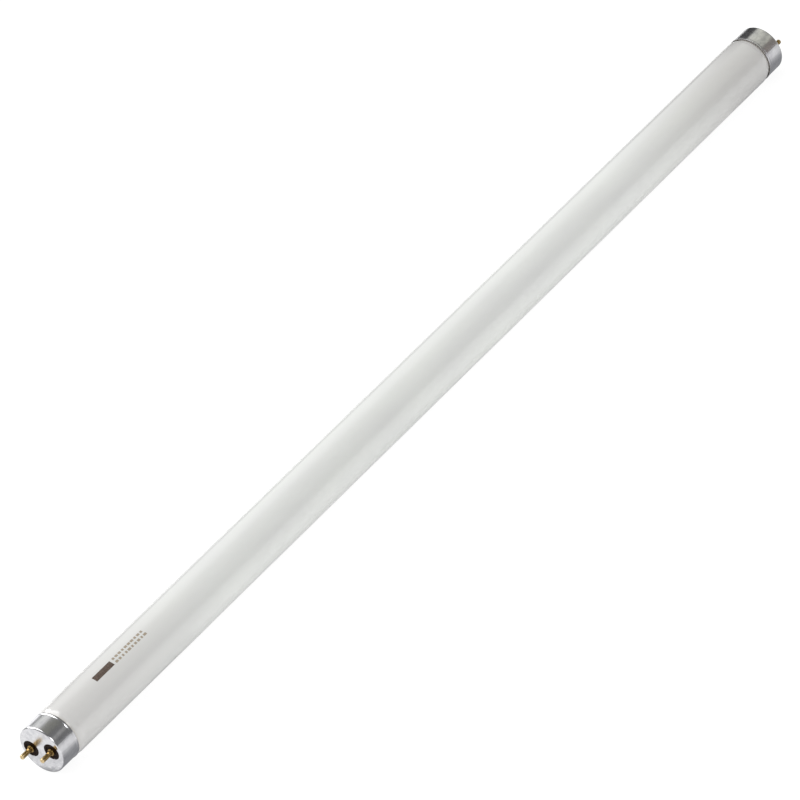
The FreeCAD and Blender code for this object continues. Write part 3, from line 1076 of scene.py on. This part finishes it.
@dataclass
class PrintedMark:
    """A plain stamped mark near the left end: a block and two rows of dashes, which say nothing."""

    glass_radius: float
    start: float = -256.0
    angle: float = math.radians(116)
    block_length: float = 13.0
    block_height: float = 3.2
    dash_count: int = 10
    dash_pitch: float = 2.3
    dash_height: float = 1.25
    row_pitch: float = 2.3
    ink_thickness: float = 0.02
    seed: int = 7

    def build(self) -> bpy.types.Object:
        """Lay the mark on the glass.

        Returns:
            The finished mark.
        """
        fine_from = self.start + self.block_length + self.dash_pitch / 2
        values = {
            "Glass Radius": self.glass_radius * MM,
            "Start": self.start * MM,
            "Angle": self.angle,
            "Block Length": self.block_length * MM,
            "Block Height": self.block_height * MM,
            "Dash Count": self.dash_count,
            "Dash Pitch": self.dash_pitch * MM,
            "Dash Height": self.dash_height * MM,
            "Row Pitch": self.row_pitch * MM,
            "Ink Thickness": self.ink_thickness * MM,
            "Seed": self.seed,
            "Finish": StampedInk(fine_from=fine_from).material(),
        }
        return MarkTree().run("printed_mark", values)


@dataclass(frozen=True)
class GlossCard(ABC):
    """A soft-edged card that shows only in gloss, as a studio's white boards and black flags do.

    Its tone runs across it, from the first of its two colours to the second. Its soft ends and
    sides are shares of its length and width.
    """

    name: str
    tones: tuple[str, str]
    brightness: float = 1.0
    soft_ends: float = 0.2
    soft_sides: float = 0.2
    steps: int = 24
    soft_steps: int = 6

    @abstractmethod
    def point(self, along: float, across: float) -> tuple[float, float, float]:
        """Work out a point of the card.

        Args:
            along: its share of the card's length.
            across: its share of the card's width.

        Returns:
            Its place in metres.
        """

    def stops(self, soft: float) -> list[float]:
        """Divide one side of the card, with finer steps in its two soft strips.

        Args:
            soft: the width of a soft strip, as a share of the side.

        Returns:
            The shares of the side at which there are points.
        """
        strip = [soft * step / self.soft_steps for step in range(self.soft_steps)]
        inner = [soft + (1 - 2 * soft) * step / self.steps for step in range(self.steps + 1)]
        return strip + inner + [1 - share for share in reversed(strip)]

    def build(self) -> bpy.types.Object:
        """Set up the card, and keep it out of the picture and off the matt surfaces.

        Returns:
            The card.
        """
        shares = [(i, j) for i in self.stops(self.soft_ends) for j in self.stops(self.soft_sides)]
        row = self.steps + 1 + 2 * self.soft_steps
        faces = [
            (i * row + j, i * row + j + 1, (i + 1) * row + j + 1, (i + 1) * row + j)
            for i in range(row - 1)
            for j in range(row - 1)
        ]
        mesh = bpy.data.meshes.new(self.name)
        mesh.from_pydata([self.point(*share) for share in shares], [], faces)
        tone = [across for _, across in shares]
        cover = [
            min(1.0, min(along, 1 - along) / self.soft_ends, min(across, 1 - across) / self.soft_sides)
            for along, across in shares
        ]
        for label, values in (("tone", tone), ("cover", cover)):
            mesh.attributes.new(label, "FLOAT", "POINT").data.foreach_set("value", values)
        mesh.materials.append(self.material())
        card = add_object(self.name, mesh)
        card.visible_camera = False
        card.visible_diffuse = False
        card.visible_shadow = False
        return card

    def material(self) -> bpy.types.Material:
        """Make the glow, which gives way to the room at the card's soft edges.

        Returns:
            The material.
        """
        material = bpy.data.materials.new(self.name)
        material.use_nodes = True
        tree = material.node_tree
        tone, cover = (
            add_node(tree, "ShaderNodeAttribute", attribute_name=label) for label in ("tone", "cover")
        )
        sides = {0: tone.outputs["Fac"], 6: linear(self.tones[0]), 7: linear(self.tones[1])}
        colour = add_node(tree, MIX, sides, data_type="RGBA")
        light = {"Color": colour.outputs[2], "Strength": self.brightness}
        glow = add_node(tree, "ShaderNodeEmission", light)
        clear = add_node(tree, "ShaderNodeBsdfTransparent")
        edged = add_node(tree, "ShaderNodeMixShader", {0: cover.outputs["Fac"], 1: clear, 2: glow})
        tree.links.new(edged.outputs[0], tree.nodes["Material Output"].inputs["Surface"])
        return material


@dataclass(frozen=True)
class CurvedCard(GlossCard):
    """A card bent round the lamp's axis, placed by where the lamp shows it.

    A surface that faces an angle round the axis mirrors the camera to twice that angle less the
    camera's own. Angles run from +Y towards +Z, in degrees. On a card close to the lamp they hold
    to a few degrees only, because the surface stands off the axis. Each end of the lamp mirrors
    its own stretch of the card, further along X at the right end.
    """

    reach: tuple[float, float] = (0.0, 0.0)
    shows_at: tuple[float, float] = (0.0, 0.0)
    camera_angle: float = 144.1
    distance: float = 1.2

    def point(self, along: float, across: float) -> tuple[float, float, float]:
        """Work out a point of the card.

        Args:
            along: its share of the card's length.
            across: its share of the card's width.

        Returns:
            Its place in metres.
        """
        x = self.reach[0] + (self.reach[1] - self.reach[0]) * along
        faced = self.shows_at[0] + (self.shows_at[1] - self.shows_at[0]) * across
        turn = math.radians(2 * faced - self.camera_angle)
        return x, self.distance * math.cos(turn), self.distance * math.sin(turn)


@dataclass(frozen=True)
class TableCard(GlossCard):
    """A card that lies just over the table, between two corners."""

    corner: tuple[float, float] = (0.0, 0.0)
    far_corner: tuple[float, float] = (0.0, 0.0)
    level: float = 0.0

    def point(self, along: float, across: float) -> tuple[float, float, float]:
        """Work out a point of the card.

        Args:
            along: its share of the card's length.
            across: its share of the card's width.

        Returns:
            Its place in metres.
        """
        x = self.corner[0] + (self.far_corner[0] - self.corner[0]) * along
        y = self.corner[1] + (self.far_corner[1] - self.corner[1]) * across
        return x, y, self.level


@dataclass(frozen=True)
class SoftBox:
    """A large square area light, never seen by the camera itself."""

    name: str
    place: tuple[float, float, float]
    target: tuple[float, float, float]
    size: float
    radiance: float

    def build(self) -> bpy.types.Object:
        """Hang the light and aim it.

        Returns:
            The light.
        """
        light = bpy.data.lights.new(self.name, "AREA")
        light.shape = "SQUARE"
        light.size = self.size
        light.energy = self.radiance * math.pi * self.size ** 2
        lamp = add_object(self.name, light)
        lamp.location = self.place
        aim = Vector(self.target) - Vector(self.place)
        lamp.rotation_euler = aim.to_track_quat("-Z", "Y").to_euler()
        lamp.visible_camera = False
        return lamp


@dataclass(frozen=True)
class Camera:
    """The photograph's camera, fitted to the ends of the tube at its real size."""

    place: tuple[float, float, float] = (-1.7677, -1.9555, 1.4139)
    forward: tuple[float, float, float] = (0.5870, 0.6561, -0.4743)
    up: tuple[float, float, float] = (0.5651, 0.0875, 0.8204)
    focal_length: float = 283.7
    sensor_width: float = 36.0
    nearest: float = 0.05
    farthest: float = 50.0

    def build(self) -> bpy.types.Object:
        """Place the camera, with the photograph's tilt, and make it the scene's own.

        Returns:
            The camera.
        """
        data = bpy.data.cameras.new("photo_camera")
        data.lens = self.focal_length
        data.sensor_width = self.sensor_width
        data.clip_start = self.nearest
        data.clip_end = self.farthest
        back = -Vector(self.forward).normalized()
        right = Vector(self.up).cross(back).normalized()
        turned = Matrix((right, back.cross(right), back)).transposed().to_4x4()
        camera = add_object("photo_camera", data)
        camera.matrix_world = Matrix.Translation(self.place) @ turned
        bpy.context.scene.camera = camera
        return camera


@dataclass
class Studio:
    """The room: a white table, one soft light overhead, and cards for the lamp to mirror."""

    floor_level: float
    left_face: float
    floor_size: float = 12.0
    card_lift: float = 0.0002
    soft_light: float = 0.62
    dim_room: float = 0.18

    def floor(self) -> bpy.types.Object:
        """Lay the floor.

        Returns:
            The floor.
        """
        half = self.floor_size / 2
        mesh = bpy.data.meshes.new("studio_floor")
        corners = [(-half, -half), (half, -half), (half, half), (-half, half)]
        mesh.from_pydata([(x, y, self.floor_level) for x, y in corners], [], [(0, 1, 2, 3)])
        mesh.materials.append(LitTable().material())
        return add_object("studio_floor", mesh)

    def left_cards(self) -> list[GlossCard]:
        """Set out what the glass and the left cap mirror, with small lights for the cap's edges.

        A card that is close to the lamp shows on a short stretch of it.

        Returns:
            The cards.
        """
        closest, close, behind = 0.1, 0.25, 1.25
        return [
            CurvedCard(
                "glass_board", ("#FFFFFF", "#C8C8C8"), soft_ends=0.05, soft_sides=0.25,
                reach=(-0.215, 0.36), shows_at=(77.0, 117.0), distance=closest,
            ),
            CurvedCard(
                "left_horizon", ("#FFFFFF", "#FFFFFF"), brightness=1.35, soft_ends=0.1,
                soft_sides=0.35, reach=(-0.285, -0.212), shows_at=(62.0, 83.5), distance=closest,
            ),
            CurvedCard(
                "left_board", ("#DDDFDB", "#FBFBF9"), brightness=0.98, soft_ends=0.22,
                soft_sides=0.3, reach=(0.0, 1.1), shows_at=(80.0, 111.3),
            ),
            CurvedCard(
                "left_haze", ("#8B8B83", "#85857E"), reach=(0.0, 0.8), shows_at=(106.0, 133.5),
                distance=behind,
            ),
            CurvedCard(
                "left_streak", ("#A6A6A4", "#A6A6A4"), brightness=1.1, soft_ends=0.22,
                soft_sides=0.5, reach=(0.0, 0.8), shows_at=(138.0, 150.0),
            ),
            CurvedCard(
                "shoulder_light", ("#FFFFFF", "#FFFFFF"), brightness=5.5, soft_ends=0.06,
                soft_sides=0.3, reach=(-0.45, -0.188), shows_at=(83.0, 98.5), distance=close,
            ),
            CurvedCard(
                "edge_light", ("#FFFFFF", "#FFFFFF"), brightness=6.5, soft_ends=0.1,
                reach=(-0.85, -0.31), shows_at=(139.0, 147.5), distance=close,
            ),
        ]

    def right_cards(self) -> list[GlossCard]:
        """Set out what the right cap mirrors: a black flag, a grey board and a brown shade.

        The long board is meant for the slope of its rim.

        Returns:
            The cards.
        """
        reach = (1.05, 1.75)
        return [
            CurvedCard(
                "right_flag", ("#343434", "#262626"), brightness=1.5, soft_sides=0.03,
                reach=reach, shows_at=(55.0, 102.4),
            ),
            CurvedCard(
                "right_board", ("#D2D2C8", "#A9A99F"), brightness=1.33, soft_sides=0.03,
                reach=reach, shows_at=(101.8, 144.5),
            ),
            CurvedCard(
                "right_shade", ("#8E8880", "#8B827C"), brightness=1.12, soft_sides=0.12,
                reach=reach, shows_at=(142.0, 162.0),
            ),
            CurvedCard(
                "right_rim_board", ("#B4B4AE", "#B4B4AE"), soft_ends=0.04, soft_sides=0.12,
                reach=(0.75, 5.5), shows_at=(66.0, 114.0), distance=0.3,
            ),
        ]

    def table_cards(self) -> list[GlossCard]:
        """Lay a white board before the left cap's face, a grey one under the glass and one by each cap.

        The grey ones by the caps are painted shadow: the tube's shadow on the table, as the caps
        mirror it.

        Returns:
            The cards.
        """
        level = self.floor_level + self.card_lift
        face_board_length, face_gap = 0.6, 0.0005
        shadow_card_length, left_shadow_card_before, right_shadow_card_before = 0.12, 0.012, 0.045
        shadow_card_starts = {
            "left": self.left_face - left_shadow_card_before,
            "right": -self.left_face - right_shadow_card_before,
        }
        cards = [
            TableCard(
                "face_board", ("#FFFFFF", "#FFFFFF"), brightness=1.05, soft_ends=0.004,
                soft_sides=0.02, corner=(self.left_face - face_board_length, -0.15),
                far_corner=(self.left_face - face_gap, 0.35), level=level,
            ),
            TableCard(
                "under_board", ("#CACACA", "#CACACA"), soft_ends=0.05, soft_sides=0.3,
                corner=(-0.275, -0.014), far_corner=(0.275, 0.0), level=level,
            ),
        ]
        # painted shadow: a grey card by each cap stands for the tube's shadow on the table in reflections
        for word, start in shadow_card_starts.items():
            flag = TableCard(
                f"{word}_under_shadow_card", ("#999A9C", "#999A9C"), soft_ends=0.12, soft_sides=0.3,
                corner=(start, -0.034), far_corner=(start + shadow_card_length, 0.03), level=level,
            )
            cards.append(flag)
        return cards

    def build(self) -> None:
        """Set up the floor, the light, the cards and the dim room round them."""
        cards = self.left_cards() + self.right_cards() + self.table_cards()
        self.floor()
        [card.build() for card in cards]
        box = SoftBox(
            "overhead_box", place=(-0.4, 0.75, 2.2), target=(-0.1, 0.0, 0.0), size=1.8, radiance=3.4
        )
        box.build()
        self.room()
        bpy.context.scene.view_settings.view_transform = "Standard"

    def room(self) -> None:
        """Make the room: a tent of soft light for matt surfaces, dim for gloss, white to the camera."""
        world = bpy.data.worlds.new("studio_room")
        world.use_nodes = True
        tree = world.node_tree
        white = linear("#FFFFFF")
        soft, dim, beyond = (
            add_node(tree, "ShaderNodeBackground", {"Color": white, "Strength": strength})
            for strength in (self.soft_light, self.dim_room, 1.0)
        )
        path = add_node(tree, "ShaderNodeLightPath")
        glossy, camera = path.outputs["Is Glossy Ray"], path.outputs["Is Camera Ray"]
        matt = add_node(tree, "ShaderNodeMixShader", {0: glossy, 1: soft, 2: dim})
        seen = add_node(tree, "ShaderNodeMixShader", {0: camera, 1: matt, 2: beyond})
        tree.links.new(seen.outputs[0], tree.nodes["World Output"].inputs["Surface"])
        bpy.context.scene.world = world


def clear_start_up_scene() -> None:
    """Remove the objects that Blender starts with, so that they don't count as pieces."""
    for item in list(bpy.data.objects):
        bpy.data.objects.remove(item)


def dress(node: bpy.types.Object, material: bpy.types.Material) -> None:
    """Give a CAD node a new material in each of its slots."""
    for slot in node.material_slots:
        slot.material = material


def settle(piece: bpy.types.Object, slot: str | None, *nodes: str) -> None:
    """Let a new piece ride on the lamp and stand for its CAD nodes.

    Args:
        piece: the finished piece.
        slot: the record's material slot, if it has one; not used.
        *nodes: the CAD nodes that it replaces.
    """
    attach(piece, BODY)
    if nodes:
        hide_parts(*nodes)
    faces, volume = len(piece.data.polygons), enclosed_volume(piece.data)
    log.info("%s: %d faces, %.1f mm3, stands for %s", piece.name, faces, volume, nodes or "itself")


def main() -> None:
    """Build the dressed lamp and the studio round the CAD frame."""
    logging.basicConfig(level=logging.INFO, format="%(name)s: %(message)s")
    clear_start_up_scene()
    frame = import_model()

    glass_low, glass_high = (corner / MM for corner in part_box("discharge_tube"))
    shell_low, shell_high = (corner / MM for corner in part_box("right_cap_shell"))
    pin_low, pin_high = (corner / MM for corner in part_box("right_rear_pin"))
    cap_face = shell_high.x
    skirt_length = shell_high.x - shell_low.x
    pin_place = (pin_low.y + pin_high.y) / 2

    turning = TurningTree()
    glass = Glass(radius=glass_high.y, cap_face=cap_face, skirt_length=skirt_length)
    settle(glass.build(turning), "coated_glass", "discharge_tube")

    aluminium = DrawnAluminium().material()
    phenolic = MouldedPhenolic().material()
    brass = DrawnBrass(tip=pin_high.x).material()
    wire = NickelWire().material()
    cement = BakedCement().material()
    for end in End:
        cap = Cap(end=end, cap_face=cap_face, pin_place=pin_place)
        dress(frame["nodes"][f"{end.word}_cap_shell"], aluminium)
        dress(frame["nodes"][f"{end.word}_insulator"], phenolic)
        settle(cap.build_cement(turning, cement), "cement", f"{end.word}_cement_ring")
        for row in Row:
            node = f"{end.word}_{row.word}_pin"
            settle(cap.build_pin(row, turning, brass), "pin_brass", node)
            dress(frame["nodes"][f"{end.word}_{row.word}_lead_wire"], wire)
        log.info("%s cap dressed", end.word)

    settle(PrintedMark(glass_radius=glass_high.y).build(), None)

    Studio(floor_level=glass_low.z * MM, left_face=-cap_face * MM).build()
    Camera().build()


if __name__ == "__main__":
    main()
